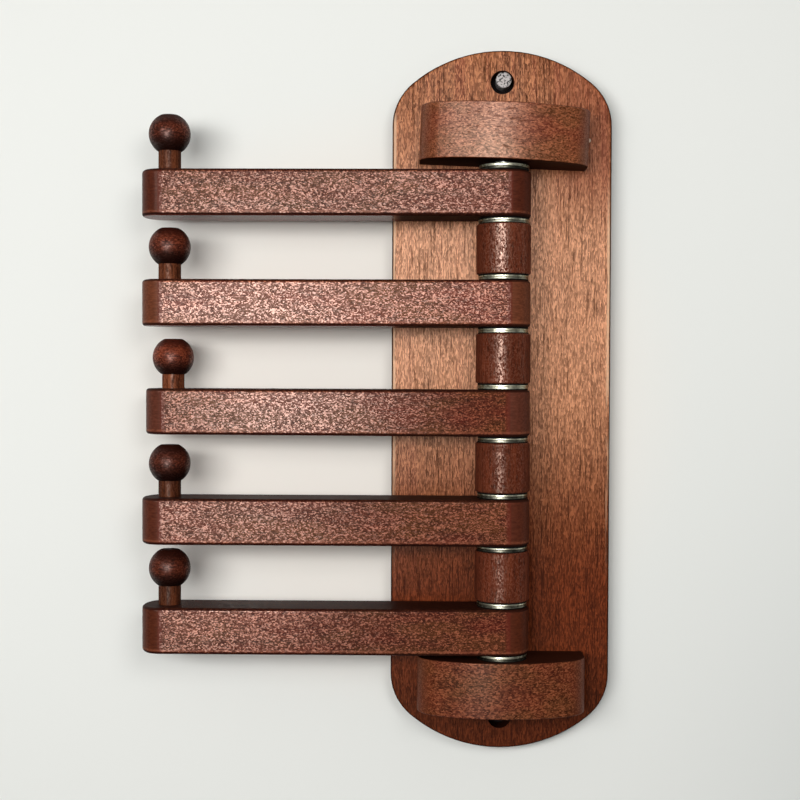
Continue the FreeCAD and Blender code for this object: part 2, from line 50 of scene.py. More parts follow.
class Value:
    """A number that varies over a surface; its operators add Math nodes."""

    def __init__(self, board: "Board", socket: bpy.types.NodeSocket) -> None:
        """Wraps a socket that gives one number."""
        self.board = board
        self.socket = socket

    def _math(self, operation: str, *numbers: "Value | float") -> "Value":
        """Adds a Math node.

        Args:
            operation: the node's operation.
            numbers: its inputs in order.

        Returns:
            The node's result.
        """
        node = self.board.node("ShaderNodeMath", {"operation": operation}, dict(enumerate(numbers)))
        return Value(self.board, node.outputs[0])

    def __add__(self, other: "Value | float") -> "Value":
        """Sum."""
        return self._math("ADD", self, other)

    def __radd__(self, other: float) -> "Value":
        """Sum with the number first."""
        return self._math("ADD", other, self)

    def __sub__(self, other: "Value | float") -> "Value":
        """Difference."""
        return self._math("SUBTRACT", self, other)

    def __rsub__(self, other: float) -> "Value":
        """Difference with the number first."""
        return self._math("SUBTRACT", other, self)

    def __mul__(self, other: "Value | float") -> "Value":
        """Product."""
        return self._math("MULTIPLY", self, other)

    def __rmul__(self, other: float) -> "Value":
        """Product with the number first."""
        return self._math("MULTIPLY", other, self)

    def __abs__(self) -> "Value":
        """Size without its sign."""
        return self._math("ABSOLUTE", self)

    def __pow__(self, other: float) -> "Value":
        """Power."""
        return self._math("POWER", self, other)

    def least(self, other: "Value | float") -> "Value":
        """The smaller of two."""
        return self._math("MINIMUM", self, other)

    def most(self, other: "Value | float") -> "Value":
        """The larger of two."""
        return self._math("MAXIMUM", self, other)

    def above(self, other: "Value | float") -> "Value":
        """One where this is larger, zero elsewhere."""
        return self._math("GREATER_THAN", self, other)

    def rise(self, low: float, high: float) -> "Value":
        """A smooth step.

        Args:
            low: where the step is still zero.
            high: where it has reached one; below low for a falling step.

        Returns:
            The step, from zero to one.
        """
        if low > high:
            return 1 - self.rise(high, low)
        node = self.board.node(
            "ShaderNodeMapRange", {"interpolation_type": "SMOOTHSTEP"},
            {"Value": self, "From Min": low, "From Max": high},
        )
        return Value(self.board, node.outputs["Result"])


Input = Value | bpy.types.NodeSocket | float | tuple


class Board:
    """The node tree of one material or of the world."""

    def __init__(self, tree: bpy.types.NodeTree) -> None:
        """Takes the tree and clears it."""
        self.tree = tree
        tree.nodes.clear()

    def node(self, kind: str, settings: dict | None = None,
             sockets: dict[str | int, Input] | None = None) -> bpy.types.Node:
        """Adds a node.

        Args:
            kind: the node's type.
            settings: its properties, set before its sockets.
            sockets: values or links of its inputs, by name or place.

        Returns:
            The new node.
        """
        node = self.tree.nodes.new(kind)
        for name, setting in (settings or {}).items():
            setattr(node, name, setting)
        for name, value in (sockets or {}).items():
            socket = node.inputs[name]
            if isinstance(value, Value):
                self.tree.links.new(value.socket, socket)
            elif isinstance(value, bpy.types.NodeSocket):
                self.tree.links.new(value, socket)
            elif socket.type == "RGBA":
                socket.default_value = (*value, 1.0)
            else:
                socket.default_value = value
        return node

    def blend(self, share: Value | float, first: Input, second: Input) -> bpy.types.NodeSocket:
        """Mixes two colours.

        Args:
            share: how much of the second.
            first: colour or socket.
            second: colour or socket.

        Returns:
            The mixed colour's socket.
        """
        node = self.node("ShaderNodeMix", {"data_type": "RGBA"}, {0: share, 6: first, 7: second})
        return node.outputs[2]

    def scaled(self, colour: Input, share: Value) -> bpy.types.NodeSocket:
        """A colour made lighter or darker by a number."""
        node = self.node("ShaderNodeVectorMath", {"operation": "SCALE"}, {0: colour, "Scale": share})
        return node.outputs[0]

    def parts(self, vector: bpy.types.NodeSocket) -> tuple[Value, ...]:
        """The three numbers of a place or a direction."""
        axes = self.node("ShaderNodeSeparateXYZ", None, {0: vector})
        return tuple(Value(self, socket) for socket in axes.outputs)

    def surface(self, shader: bpy.types.Node) -> None:
        """Ends a material with a shader."""
        self.node("ShaderNodeOutputMaterial", None, {"Surface": shader.outputs[0]})


@dataclass(frozen=True)
class Lie:
    """How the grain of a piece lies: where its middle is and how it is turned.

    The grain's first axis runs along the fibres, the second out of the wall or
    through the piece, the third across the piece's face.
    """

    middle: tuple[float, float, float]
    turn: tuple[float, float, float] = LEVEL


class Grain:
    """Places on one piece of wood in millimetres, and the fibres that run through it."""

    def __init__(self, board: Board, lie: Lie, seed: float) -> None:
        """Sets the grain's axes up.

        Args:
            board: the material's nodes.
            lie: where the grain lies.
            seed: a number that gives each piece its own pattern.
        """
        self.board = board
        self.seed = seed
        where = board.node("ShaderNodeTexCoord")
        local = board.node("ShaderNodeMapping", {"vector_type": "TEXTURE"}, {
            "Vector": where.outputs["Object"],
            "Location": lie.middle,
            "Rotation": lie.turn,
            "Scale": (MILLIMETRE,) * 3,
        })
        self.place = local.outputs["Vector"]
        self.along, self.out, self.across = board.parts(self.place)
        facing = board.node("ShaderNodeMapping", {"vector_type": "TEXTURE"}, {
            "Vector": where.outputs["Normal"], "Rotation": lie.turn,
        })
        self.slope_along, self.slope_out, self.slope_across = board.parts(facing.outputs["Vector"])

    def fibres(self, length: float, width: float, detail: float = 2.0, roughness: float = 0.5,
               shift: float = 0.0, sway: Value | None = None) -> Value:
        """Noise drawn out along the grain.

        Args:
            length: length of one fibre or band in millimetres.
            width: its width.
            detail: octaves of noise.
            roughness: strength of the finer octaves.
            shift: sets one pattern apart from another on the same piece.
            sway: how far the fibres wander sideways, in millimetres.

        Returns:
            A number about 0.5, from 0 to 1.
        """
        noise = self.board.node("ShaderNodeTexNoise", {"noise_dimensions": "3D"}, {
            "Vector": self._drawn_out(length, width, shift, sway),
            "Scale": 1.0, "Detail": detail, "Roughness": roughness,
        })
        return Value(self.board, noise.outputs["Fac"])

    def specks(self, length: float, width: float, shift: float = 0.0, sway: Value | None = None) -> Value:
        """Short fibres side by side, each of its own even lightness.

        Args:
            length: length of one fibre in millimetres.
            width: its width.
            shift: sets one pattern apart from another on the same piece.
            sway: how far the fibres wander sideways, in millimetres.

        Returns:
            A number from 0 to 1.
        """
        cells = self.board.node("ShaderNodeTexVoronoi", {"voronoi_dimensions": "3D", "feature": "F1"}, {
            "Vector": self._drawn_out(length, width, shift, sway), "Scale": 1.0,
        })
        parts = self.board.node("ShaderNodeSeparateColor", None, {0: cells.outputs["Color"]})
        return Value(self.board, parts.outputs[0])

    def _drawn_out(self, length: float, width: float, shift: float,
                   sway: Value | None) -> bpy.types.NodeSocket:
        """The place, with one unit for a fibre's length and width."""
        place = self.place
        if sway is not None:
            aside = self.board.node("ShaderNodeCombineXYZ", None, {"Z": sway})
            place = self.board.node("ShaderNodeVectorMath", {"operation": "ADD"},
                                    {0: place, 1: aside.outputs[0]}).outputs[0]
        drawn = self.board.node("ShaderNodeVectorMath", {"operation": "MULTIPLY_ADD"}, {
            0: place,
            1: (1 / length, 1 / width, 1 / width),
            2: tuple(self.seed * step + shift * turn for step, turn in PATTERN_STEPS),
        })
        return drawn.outputs[0]


@dataclass(frozen=True)
class Varnish:
    """A thin satin varnish that lies on the raised fibres and leaves the pores dry."""

    smooth: float = 0.26  # roughness of the varnish
    dry: float = 0.7  # roughness of the wood that it leaves dry
    dry_level: float = 0.06  # how strongly that dry wood shines
    level: float = 0.4  # how strongly the varnish shines
    glow: Colour = (1.0, 0.8, 0.68)  # tint of its shine, from the fibres under it
    relief: float = 0.03  # height of the fibres under it in millimetres

    def shader(self, board: Board, colour: Input, height: Value, shine: Value) -> None:
        """Ends a material with this varnish.

        Args:
            board: the material's nodes.
            colour: the wood's colour.
            height: relief of the fibres, 0 to 1.
            shine: where the varnish lies, 0 to 1.
        """
        relief = board.node("ShaderNodeBump", None, {
            "Strength": 1.0, "Distance": self.relief * MILLIMETRE, "Height": height,
        })
        dry, varnished = (
            board.node("ShaderNodeBsdfPrincipled", None, {
                "Base Color": colour,
                "Roughness": roughness,
                "Specular IOR Level": level,
                "Specular Tint": self.glow,
                "Normal": relief.outputs["Normal"],
            })
            for roughness, level in ((self.dry, self.dry_level), (self.smooth, self.level)))
        mixed = board.node("ShaderNodeMixShader", None, {
            0: shine, 1: dry.outputs[0], 2: varnished.outputs[0],
        })
        board.surface(mixed)


def new_material(name: str) -> tuple[bpy.types.Material, Board]:
    """A new material with an empty board."""
    material = bpy.data.materials.new(name)
    material.use_nodes = True
    return material, Board(material.node_tree)


@dataclass(frozen=True)
class ArmWood:
    """Finish of an arm: fine shimmering fibres on its flat sides, dark rounded ends."""

    name: str
    lie: Lie
    reach: float
    depth: float
    thickness: float
    shoulder: float
    seed: float
    tone: float = 1.0
    varnish_and_sheen: tuple[float, float] = (1.0, 1.0)  # how much varnish is left at its tip and at the rod; it also scales a painted sheen in the pale fibres
    fibre: Colour = paint(84, 38, 23)
    shimmer: Colour = paint(150, 84, 58)
    pore: Colour = paint(36, 11, 5)
    olive: Colour = paint(92, 52, 24)
    red: Colour = paint(90, 32, 20)
    end: Colour = paint(76, 32, 18)
    wall_reflection: Colour = paint(132, 52, 44)  # painted reflection of the wall on the outer part of its lower side
    reflection_start: tuple[float, float] = (50.0, 56.0)  # how far from the rod that painted reflection begins
    end_lap: float = 1.0  # how far the end grain's stain laps over the flat side
    highlight_line: tuple[float, float] = (1.3, 3.0)  # the painted highlight line's heights over the lower side
    dents: tuple[tuple[float, float], ...] = ()  # how far along and out each dent is
    dent_stretch: float = 0.12  # makes a dent longer than it is wide
    varnish: Varnish = Varnish(level=0.52, relief=0.013, glow=(1.0, 0.75, 0.65))

    def material(self) -> bpy.types.Material:
        """Builds the finish.

        Returns:
            The new material.
        """
        material, board = new_material(self.name)
        grain = Grain(board, self.lie, self.seed)
        speckle = grain.specks(length=0.72, width=0.5)
        coarse = grain.fibres(length=4.5, width=1.1, detail=2.0, shift=3.7)
        pores = grain.fibres(length=2.6, width=0.7, detail=0.0, shift=7.9)
        bands = grain.fibres(length=95, width=4.5, detail=2.0, shift=1.3)
        cloud = grain.fibres(length=30, width=10, detail=1.5, shift=5.2)
        lift = ((speckle ** 4.0) * (coarse * 1.8 + 0.9)).least(1.0)
        tip, root = self.varnish_and_sheen
        left = grain.along.rise(0.0, self.reach) * (tip - root) + root
        body = board.blend(cloud.rise(0.45, 0.66), self.fibre, self.red)
        body = board.blend(cloud.rise(0.5, 0.34) * 0.6, body, self.olive)
        # painted sheen: the pale fibres are painted stronger where more varnish is left
        body = board.blend(lift * (left * 0.5 + 0.5).least(1.0), body, self.shimmer)
        body = board.blend(pores.rise(0.6, 0.72) * 0.5, body, self.pore)
        body = board.scaled(body, (bands - 0.5) * 0.9 + (speckle - 0.5) * 0.7 + self.tone)
        # the rounded ends show end grain, which took more stain
        middle = self.reach / 2
        past = abs(grain.along - middle) - (middle + self.depth / 2 - self.shoulder - self.end_lap)
        at_end = past.rise(-1.3, 1.1)
        end_fibres = grain.fibres(length=9.0, width=0.9, detail=2.0, shift=11.0)
        end = board.scaled(self.end, (end_fibres - 0.5) * 1.3 + 1.0)
        body = board.blend(at_end, body, end)
        seam = past.rise(-2.2, -0.8) * past.rise(1.2, 0.2)
        body = board.blend(seam * 0.7, body, self.red)
        # painted shade along the eased edges, darkest on the lower one, which faces away from the light
        lower_edge_shade = (0.0 - grain.slope_across).rise(0.03, 0.4)
        upper_edge_shade = grain.slope_across.rise(0.15, 0.5)
        body = board.blend(lower_edge_shade * 0.92, body, self.pore)
        body = board.blend(upper_edge_shade * 0.85, body, self.pore)
        # painted highlight: beside that dark line the lower edge is painted a little lighter
        rim = grain.across + self.thickness / 2
        foot, top = self.highlight_line
        rubbed = rim.rise(top, top - 1.0) * rim.rise(foot, foot + 0.6) * coarse.rise(0.3, 0.55)
        body = board.blend(rubbed * 0.4, body, self.shimmer)
        for along, out in self.dents:
            off = ((grain.along - along) ** 2.0) * self.dent_stretch + (grain.out - out) ** 2.0
            body = board.blend(off.rise(2.4, 0.8) * upper_edge_shade * 0.85, body, self.pore)
        relief = lift * 0.8 + pores.rise(0.72, 0.6) * 0.4
        # painted reflection: the outer part of the lower side, over the wall, is painted lighter and its
        # varnish is smoother
        reflected_underside = grain.slope_across.rise(-0.75, -0.95) * grain.along.rise(*self.reflection_start) * 0.66
        body = board.blend(reflected_underside, body, self.wall_reflection)
        end_shine = grain.along.rise(20.0, 120.0) * 0.16 + 0.06
        face = ((lift * 0.9 + 0.1) * left * (1 - at_end)).most(at_end * end_shine)
        shine = (face * (1 - lower_edge_shade) * (1 - upper_edge_shade * 0.6)).most(reflected_underside)
        self.varnish.shader(board, body, relief * (1 - at_end * 0.8) * (1 - reflected_underside), shine)
        return material


@dataclass(frozen=True)
class PlateWood:
    """Finish of the back plate: upright streaks, a redder, darker foot, a painted sheen on its upper half
    and painted highlights and shade at its edges.
    """

    name: str
    lie: Lie
    width: float
    seed: float
    fibre: Colour = paint(116, 62, 38)
    shimmer: Colour = paint(188, 122, 80)
    amber: Colour = paint(138, 76, 40)
    red: Colour = paint(114, 48, 32)
    pore: Colour = paint(50, 19, 9)
    # colour of the painted sheen on the upper half
    sheen_colour: Colour = paint(214, 156, 120)
    foot: Colour = paint(91, 36, 14)
    # colour of the painted highlight along the long edges
    bare: Colour = paint(228, 186, 150)
    splinter: Colour = paint(214, 196, 170)
    # each pair says where a change begins and ends, in millimetres above the plate's middle, or left of it
    sheen_below: tuple[float, float] = (-75.0, 35.0)
    sheen_above: tuple[float, float] = (140.0, 75.0)
    shoulder_shade_aside: tuple[float, float] = (-14.0, -40.0)
    shoulder_shade_above: tuple[float, float] = (80.0, 118.0)
    foot_stain: tuple[float, float] = (10.0, -100.0)
    foot_shade: tuple[float, float] = (-110.0, -165.0)
    chip: tuple[float, float] = (44.0, 132.0)  # to the right and up
    chip_stretch: float = 0.6  # makes the chip longer than it is wide
    varnish: Varnish = Varnish(smooth=0.26, level=0.2, relief=0.015, glow=(1.0, 0.72, 0.56))

    def material(self) -> bpy.types.Material:
        """Builds the finish.

        Returns:
            The new material.
        """
        material, board = new_material(self.name)
        grain = Grain(board, self.lie, self.seed)
        figure = grain.fibres(length=70, width=12, detail=2.0, shift=2.1)
        sway = (figure - 0.5) * 3.0
        speckle = grain.specks(length=1.7, width=0.44, sway=sway)
        streak = grain.fibres(length=24, width=1.2, detail=1.0, shift=4.3, sway=sway)
        veins = grain.fibres(length=20, width=0.75, detail=0.0, shift=8.8, sway=sway)
        bands = grain.fibres(length=220, width=6.0, detail=2.5, shift=6.1, sway=sway)
        cloud = grain.fibres(length=60, width=26, detail=2.0, shift=9.4)
        lift = (speckle ** 1.5) * 0.8 + streak.rise(0.35, 0.65) * 0.2
        dark = veins.rise(0.62, 0.7)
        body = board.blend(cloud.rise(0.35, 0.65), self.fibre, self.amber)
        body = board.blend(bands.rise(0.5, 0.66) * 0.7, body, self.red)
        body = board.blend(lift * 0.75, body, self.shimmer)
        body = board.blend(dark * 0.65, body, self.pore)
        # painted sheen: the upper half is painted paler, where the varnish mirrors the lamps
        pale = grain.along.rise(*self.sheen_below) * grain.along.rise(*self.sheen_above)
        body = board.blend(pale * (0.42 + lift * 0.3) * (1 - dark * 0.5), body, self.sheen_colour)
        # painted shade: the right shoulder is painted darker and redder, where less sheen falls
        shoulder_shade = grain.across.rise(*self.shoulder_shade_aside) * grain.along.rise(*self.shoulder_shade_above)
        body = board.blend(shoulder_shade * 0.5, body, self.red)
        body = board.scaled(body, 0.3 + bands * 0.7 + speckle * 0.72)
        # the foot kept a redder, darker stain
        low = grain.along.rise(*self.foot_stain)
        shade = 1.12 - grain.along.rise(*self.foot_shade) * 0.34
        foot = board.scaled(self.foot, (0.42 + lift * 1.3) * shade)
        foot = board.blend(dark * 0.6, foot, self.pore)
        body = board.blend(low * 0.95, body, foot)
        # painted highlight: a paler line is painted along the long edges; painted shade: the sides and a
        # thin line at the long edges are painted nearly as dark as the pores
        side = self.width / 2 - abs(grain.across)
        rubbed = side.rise(2.4, 1.5) * streak.rise(0.3, 0.55) * (1 - low) * (1 - shoulder_shade)
        body = board.blend(rubbed * 0.7, body, self.bare)
        front, back = grain.slope_out.rise(-0.8, -0.97), grain.slope_out.rise(0.8, 0.97)
        edge = ((1 - front) * (1 - back)).most(side.rise(0.9, 0.5))
        body = board.blend(edge * 0.95, body, self.pore)
        across, along = self.chip
        off = ((grain.along - along) ** 2.0) * self.chip_stretch + (grain.across + across) ** 2.0
        body = board.blend(off.rise(0.9, 0.2) * front, body, self.splinter)
        shine = (lift * 0.6 + 0.4) * (1 - dark * 0.7) * (1 - edge) * (1 - low * 0.6)
        self.varnish.shader(board, body, lift * 0.7 + (1 - dark) * 0.5, shine)
        return material


@dataclass(frozen=True)
class BlockWood:
    """Finish of a bearing block: level fibres that curve round its bowed front."""

    name: str
    lie: Lie
    seed: float
    tone: float = 1.0
    fibre: Colour = paint(96, 46, 24)
    shimmer: Colour = paint(156, 88, 56)
    red: Colour = paint(104, 40, 24)
    olive: Colour = paint(94, 56, 26)
    pore: Colour = paint(44, 15, 6)
    level_shade: Colour = paint(47, 18, 8)
    varnish: Varnish = Varnish(smooth=0.3, level=0.4, relief=0.015, glow=(1.0, 0.76, 0.6))

    def material(self) -> bpy.types.Material:
        """Builds the finish.

        Returns:
            The new material.
        """
        material, board = new_material(self.name)
        grain = Grain(board, self.lie, self.seed)
        speckle = grain.specks(length=0.95, width=0.56)
        streak = grain.fibres(length=12, width=1.0, detail=1.5, shift=4.4)
        pores = grain.fibres(length=4.5, width=0.7, detail=0.0, shift=8.1)
        cloud = grain.fibres(length=26, width=11, detail=2.0, shift=2.6)
        sway = (cloud - 0.5) * 5.0
        rings = grain.fibres(length=160, width=3.4, detail=1.5, shift=6.6, sway=sway)
        lift = (speckle ** 1.5) * 0.85 + streak.rise(0.35, 0.65) * 0.15
        dark = pores.rise(0.64, 0.76)
        body = board.blend(cloud.rise(0.42, 0.64), self.fibre, self.red)
        body = board.blend(cloud.rise(0.5, 0.34) * 0.6, body, self.olive)
        body = board.blend(lift * 0.8, body, self.shimmer)
        body = board.blend(dark * 0.4, body, self.pore)
        body = board.scaled(body, (rings - 0.5) * 0.4 + (speckle - 0.5) * 0.65 + self.tone)
        # the ends took more stain; painted shade: the level faces above and below are painted nearly black
        side = abs(grain.slope_along).rise(0.3, 0.8)
        body = board.blend(side * 0.6, body, self.fibre)
        level_face_shade = abs(grain.slope_across).rise(0.4, 0.9)
        body = board.blend(level_face_shade * 0.97, body, self.level_shade)
        shine = (lift * 0.6 + 0.4) * (1 - dark * 0.7) * (1 - level_face_shade) * (1 - side * 0.55)
        self.varnish.shader(board, body, lift * 0.7 + (1 - dark) * 0.4, shine)
        return material


@dataclass(frozen=True)
class TurnedWood:
    """Finish of a spacer, a peg or a ball: fibres through a turned shape."""

    name: str
    lie: Lie
    seed: float
    fibre: Colour
    light: Colour
    pore: Colour
    ring_width: float = 2.6
    ring_share: float = 0.5
    speckle_share: float = 0.4
    lit_waist: float = 0.0  # half height of the middle painted paler as painted light, the top and bottom staying darker, in millimetres, or none
    lower_half_shade: float = 0.0  # painted shade: how much darker its lower half is painted
    lower_shade_line: tuple[float, float] = (1.0, -7.0)  # heights where that begins and is full
    glitter: float = 0.85  # how unevenly the varnish shines from fibre to fibre
    varnish: Varnish = Varnish(relief=0.02)

    def material(self) -> bpy.types.Material:
        """Builds the finish.

        Returns:
            The new material.
        """
        material, board = new_material(self.name)
        grain = Grain(board, self.lie, self.seed)
        cloud = grain.fibres(length=16, width=9, detail=2.0, shift=2.2)
        sway = (cloud - 0.5) * 3.0
        rings = grain.fibres(length=90, width=self.ring_width, detail=2.0, shift=5.1, sway=sway)
        speckle = grain.specks(length=0.85, width=0.6, shift=1.7)
        pores = grain.fibres(length=3.4, width=0.7, detail=0.0, shift=9.1)
        lift = speckle ** 2.0
        # painted light: the middle band is painted paler than the top and bottom
        lit_waist = abs(grain.across).rise(self.lit_waist, self.lit_waist * 0.2) if self.lit_waist else 1.0
        body = board.blend(rings.rise(0.42, 0.64) * self.ring_share * lit_waist, self.fibre, self.light)
        body = board.blend(lift * self.speckle_share * lit_waist, body, self.light)
        body = board.blend(pores.rise(0.6, 0.72) * 0.6, body, self.pore)
        body = board.scaled(body, 0.6 + cloud * 0.8)
        # painted shade on the lower half
        if self.lower_half_shade:
            body = board.blend(grain.across.rise(*self.lower_shade_line) * self.lower_half_shade, body, self.pore)
        around = abs(grain.slope_across).rise(0.5, 0.9)
        shine = (lift * self.glitter + (1 - self.glitter) * 0.6) * (1 - around)
        self.varnish.shader(board, body, lift * 0.8 + pores.rise(0.7, 0.6) * 0.4, shine)
        return material


@dataclass(frozen=True)
class Steel:
    """A metal finish: drawn, plated or mottled, with fine rubbed lines round its axis."""

    name: str
    lie: Lie
    metal: Colour
    stain: Colour
    roughness: float = 0.28
    line: float = 0.25  # width of its rubbed lines in millimetres
    mottle: float = 0.4  # how strongly the stain shows in its spots
    relief: float = 0.006  # height of its spots and lines in millimetres
    bare: float = 1.0  # how much of it is bright metal, the rest being a dull skin of oxide
    seed: float = 1.0

    def material(self) -> bpy.types.Material:
        """Builds the finish.

        Returns:
            The new material.
        """
        material, board = new_material(self.name)
        grain = Grain(board, self.lie, self.seed)
        spots = grain.fibres(length=1.3, width=1.3, detail=3.0, roughness=0.6)
        cloud = grain.fibres(length=7.0, width=7.0, detail=2.0, shift=3.3)
        lines = grain.fibres(length=self.line, width=30.0, detail=1.5, shift=6.1)
        colour = board.blend(cloud.rise(0.4, 0.75) * self.mottle * 0.6, self.metal, self.stain)
        colour = board.blend(spots.rise(0.48, 0.6) * self.mottle * 0.8, colour, self.stain)
        relief = board.node("ShaderNodeBump", None, {
            "Strength": 1.0, "Distance": self.relief * MILLIMETRE, "Height": spots + lines * 0.6,
        })
        surface = board.node("ShaderNodeBsdfPrincipled", None, {
            "Base Color": colour,
            "Metallic": self.bare,
            "Roughness": self.roughness + spots * 0.18,
            "Normal": relief.outputs["Normal"],
        })
        board.surface(surface)
        return material


@dataclass(frozen=True)
class WasherZinc:
    """Finish of a washer: yellow zinc with duller patches, with painted shade round its sides and at the
    joints.
    """

    name: str
    lie: Lie
    seed: float
    shine: float  # how bright its rim is
    joint: tuple[float, float]  # heights on the rim, from its middle, with painted shade below and above
    zinc: Colour = paint(240, 238, 214)
    dull_and_shade: Colour = paint(84, 82, 44)
    joint_shade: Colour = paint(8, 6, 4)
    joint_shade_edge: float = 0.12  # half the height over which the painted shade fades out
    side_shade_from: tuple[float, float] = (7.0, 12.0)  # how far aside of its middle the painted shade round its sides begins and is full

    def material(self) -> bpy.types.Material:
        """Builds the finish.

        Returns:
            The new material.
        """
        material, board = new_material(self.name)
        grain = Grain(board, self.lie, self.seed)
        spots = grain.fibres(length=1.6, width=0.7, detail=2.0, roughness=0.6)
        patches = grain.fibres(length=5.0, width=1.4, detail=1.0, shift=3.3)
        low, high = self.joint
        fade = self.joint_shade_edge
        # painted shade at the joints, where shade falls between the washers and the wood
        joint_shaded = grain.across.rise(high - fade, high + fade).most(
            grain.across.rise(low + fade, low - fade))
        # painted shade round its sides, with duller patches and spots over the whole rim
        around = abs(grain.along).rise(*self.side_shade_from)
        dulled_and_shaded = (patches.rise(0.4, 0.62) * 0.4 + around * 0.6 + spots.rise(0.52, 0.66) * 0.3).least(1.0)
        zinc, dull_and_shade = (tuple(part * self.shine for part in tint) for tint in (self.zinc, self.dull_and_shade))
        colour = board.blend(dulled_and_shaded, zinc, dull_and_shade)
        colour = board.blend(joint_shaded, colour, self.joint_shade)
        surface = board.node("ShaderNodeBsdfPrincipled", None, {
            "Base Color": colour,
            "Metallic": 1 - joint_shaded,
            "Roughness": spots * 0.2 + joint_shaded * 0.4 + 0.28,
            "Specular IOR Level": 0.1,
        })
        board.surface(surface)
        return material


class Side(Enum):
    """The two ends of the stack of arms."""

    TOP = "top"
    BOTTOM = "bottom"


def dress(name: str, material: bpy.types.Material) -> None:
    """Gives a piece of the frame its finish.

    Args:
        name: the piece's name.
        material: its finish.
    """
    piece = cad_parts[name]
    if not piece.material_slots:
        piece.data.materials.append(None)
    for slot in piece.material_slots:
        slot.material = material
    low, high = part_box(name)
    LOG.info("%s: %s, %.1f x %.1f x %.1f mm", name, material.name,
             *((b - a) / MILLIMETRE for a, b in zip(low, high)))


def middle_of(name: str) -> Vector:
    """Middle of a piece's box."""
    low, high = (Vector(corner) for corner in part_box(name))
    return (low + high) / 2


def lie_of(name: str, turn: tuple[float, float, float] = LEVEL) -> Lie:
    """How the grain lies in a piece, round the middle of its box."""
    return Lie(tuple(middle_of(name)), turn)


def new_piece(name: str, shape: bmesh.types.BMesh, material: bpy.types.Material) -> bpy.types.Object:
    """Puts a new piece into the scene.

    Args:
        name: its name.
        shape: its shape, which is freed here.
        material: its finish.

    Returns:
        The piece.
    """
    mesh = bpy.data.meshes.new(name)
    shape.to_mesh(mesh)
    shape.free()
    mesh.materials.append(material)
    piece = bpy.data.objects.new(name, mesh)
    bpy.context.scene.collection.objects.link(piece)
    return piece


@dataclass
class BackPlate:
    """The upright board on the wall."""

    width: float = 111.0
    seed: float = 1.0

    def dress(self) -> None:
        """Gives the board its upright grain."""
        wood = PlateWood("plate_wood", lie_of("back_plate", UPRIGHT), self.width, self.seed)
        dress("back_plate", wood.material())


@dataclass
class BearingBlocks:
    """The two bow-fronted blocks that hold the rod's ends."""

    tilt: float = math.radians(2.3)  # of the upper block
    first_seed: float = 2.0
    glow: Colour = (1.0, 0.72, 0.56)  # tint of their shine
    # painted shade: the lower block's stain is painted darker, as it hangs in shade
    tones: dict[Side, float] = field(default_factory=lambda: {Side.TOP: 1.0, Side.BOTTOM: 0.66})
    polish: dict[Side, float] = field(default_factory=lambda: {Side.TOP: 1.0, Side.BOTTOM: 0.25})

    def dress(self) -> None:
        """Gives both blocks their level grain; the upper one's follows its tilt."""
        for index, (side, tone) in enumerate(self.tones.items()):
            name = f"{side.value}_block"
            turn = (0.0, self.tilt, 0.0) if side is Side.TOP else LEVEL
            varnish = Varnish(smooth=0.36, level=self.polish[side], relief=0.015, glow=self.glow)
            wood = BlockWood(f"{name}_wood", lie_of(name, turn), self.first_seed + index, tone,
                             varnish=varnish)
            dress(name, wood.material())


@dataclass
class PivotStack:
    """The rod with its spacers and washers, and the screws of the blocks."""

    washer_count: int = 20
    washers_per_place: int = 2
    washer_seed: float = 60.0
    # how bright the lower washer of each pair is, from the top of the stack down
    lower_shine: tuple[float, ...] = (0.1, 0.4, 0.45, 0.8, 0.75, 0.25, 0.25, 0.15, 0.3, 0.1)
    # height on the rim of each pair's upper washer above which painted shade lies
    upper_joint_shade: tuple[float, ...] = (0.35, -0.1, -0.1, -0.1, -0.1, -0.1, -0.1, -0.1, -0.05, 0.3)
    lower_joint_shade: float = -0.25  # height on a lower washer's rim below which painted shade lies
    past_rim: float = 1.0  # a height beyond the rim, for an end without grease
    spacer_seed: float = 20.0
    spacer_fibre: Colour = paint(84, 37, 22)
    spacer_light: Colour = paint(120, 60, 38)
    spacer_pore: Colour = paint(36, 12, 5)
    spacer_glow: Colour = (1.0, 0.68, 0.54)
    spacer_tones: tuple[float, ...] = (1.0, 0.95, 0.9, 1.0)
    spacer_polish: tuple[float, ...] = (1.5, 0.9, 0.55, 0.6)
    rod_metal: Colour = paint(176, 176, 174)
    rod_stain: Colour = paint(120, 116, 108)
    screw_metal: Colour = paint(196, 192, 172)
    screw_stain: Colour = paint(150, 138, 96)

    def dress(self) -> None:
        """Gives the metal pieces and the spacers their finishes."""
        rod = lie_of("pivot_rod")
        dress("pivot_rod", Steel("rod_steel", rod, self.rod_metal, self.rod_stain).material())
        dress("block_screws", Steel("screw_steel", rod, self.screw_metal, self.screw_stain,
                                    roughness=0.32).material())
        for index in range(self.washer_count):
            self._dress_washer(index)
        for index, (tone, polish) in enumerate(zip(self.spacer_tones, self.spacer_polish), start=1):
            self._dress_spacer(index, tone, polish)

    def _dress_washer(self, index: int) -> None:
        """Gives one washer its zinc; they are counted from the top down, two at a place."""
        name = f"washer_{index + 1:02d}"
        place, lower = divmod(index, self.washers_per_place)
        if lower:
            shine, joint = self.lower_shine[place], (self.lower_joint_shade, self.past_rim)
        else:
            shine, joint = 1.0, (-self.past_rim, self.upper_joint_shade[place])
        zinc = WasherZinc(f"{name}_zinc", lie_of(name), self.washer_seed + index, shine, joint)
        dress(name, zinc.material())

    def _dress_spacer(self, index: int, tone: float, polish: float) -> None:
        """Gives one spacer its wood, with its own lightness and shine."""
        name = f"spacer_{index}"
        fibre, light = (tuple(part * tone for part in tint)
                        for tint in (self.spacer_fibre, self.spacer_light))
        varnish = Varnish(smooth=0.34, level=polish, relief=0.015, glow=self.spacer_glow)
        wood = TurnedWood(f"{name}_wood", lie_of(name, UPRIGHT), self.spacer_seed + index, fibre, light,
                          self.spacer_pore, ring_width=1.6, ring_share=0.35, glitter=1.0, varnish=varnish)
        dress(name, wood.material())


